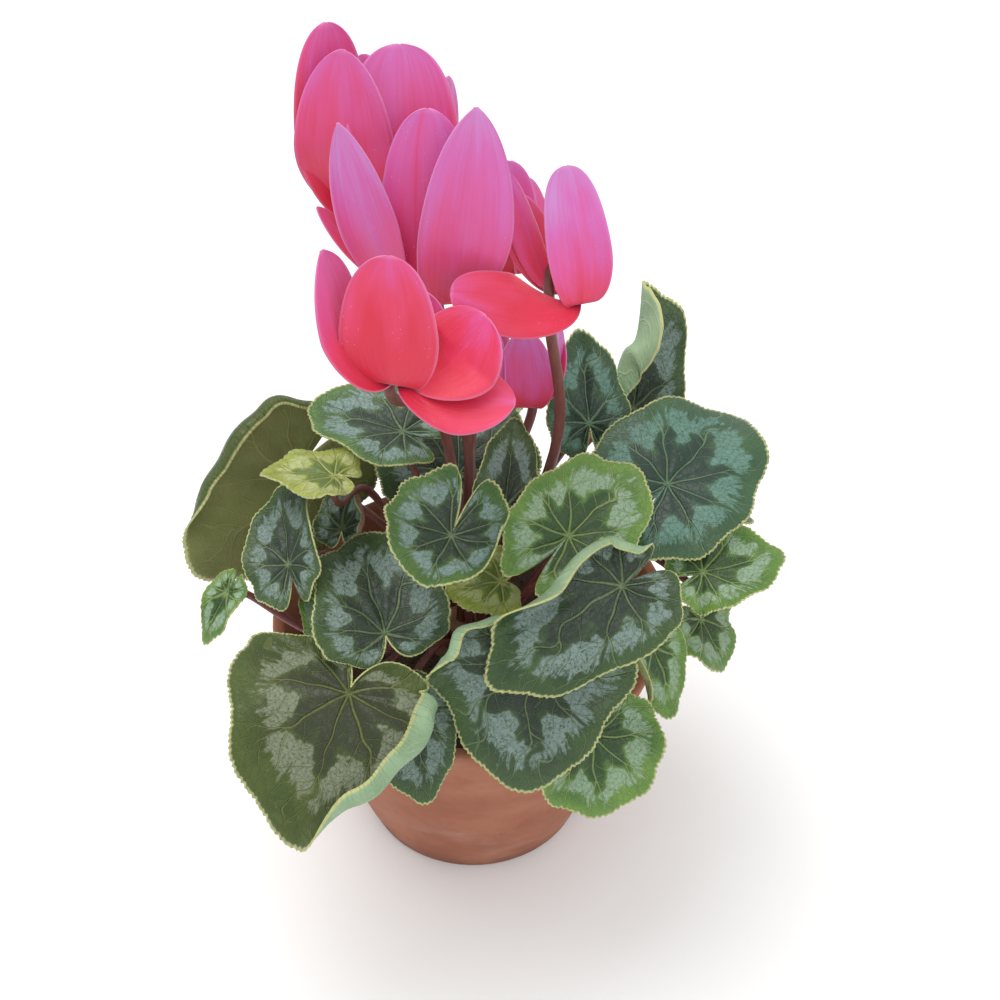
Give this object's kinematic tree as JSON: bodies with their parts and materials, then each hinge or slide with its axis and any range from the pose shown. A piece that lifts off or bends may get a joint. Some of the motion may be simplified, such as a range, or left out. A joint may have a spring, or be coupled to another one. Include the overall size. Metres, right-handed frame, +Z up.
{
  "type": "potted cyclamen",
  "caption": "Cyclamen in a tapered clay pot: a dome of heart-shaped toothed leaves on thin stalks, with nodding flowers of swept-back petals standing over it.",
  "frame": {"origin": "middle of the pot's underside, on the surface that it stands on", "axes": "+Z up out of the pot; the front of the plant faces -Y and +X is to its right as seen from the front"},
  "size_m": [0.2399, 0.2508, 0.3661],
  "materials": {
    "terracotta": "unglazed fired clay",
    "soil": "damp potting mix",
    "stalk": "fleshy red-brown stalks and tuber",
    "leaf": "waxy green leaf with silver pattern",
    "petal": "velvety pink petal"
  },
  "bodies": {
    "root": {"pot": "terracotta", "soil": "soil", "crown": "stalk", "leaf_front_left_large": "leaf", "leaf_front_left_inner": "leaf", "leaf_front_left_strip": "leaf", "leaf_front_centre_large": "leaf", "leaf_front_centre_oval": "leaf", "leaf_front_right_low": "leaf", "leaf_centre_left_cup": "leaf", "leaf_centre_right_bright": "leaf", "leaf_right_large": "leaf", "leaf_upper_left": "leaf", "leaf_left_yellow": "leaf", "leaf_left_back_olive": "leaf", "leaf_left_dark": "leaf", "leaf_left_small_low": "leaf", "leaf_right_outer": "leaf", "leaf_right_lower": "leaf", "leaf_right_hanging": "leaf", "leaf_back_dark": "leaf", "leaf_back_right_rolled": "leaf", "leaf_centre_back": "leaf", "leaf_back_left_olive": "leaf", "leaf_front_left_low": "leaf", "leaf_centre_low": "leaf", "leaf_left_inner_brown": "leaf", "leaf_back_left_low": "leaf", "leaf_back_left_upper": "leaf", "leaf_back_middle_low": "leaf", "leaf_back_middle_upper": "leaf", "leaf_back_right_low": "leaf", "leaf_back_right_side": "leaf", "flower_top_left": "petal", "flower_centre": "petal", "flower_lower_left": "petal", "flower_right": "petal", "flower_middle_back": "petal", "flower_low_back": "petal"}
  },
  "joints": []
}
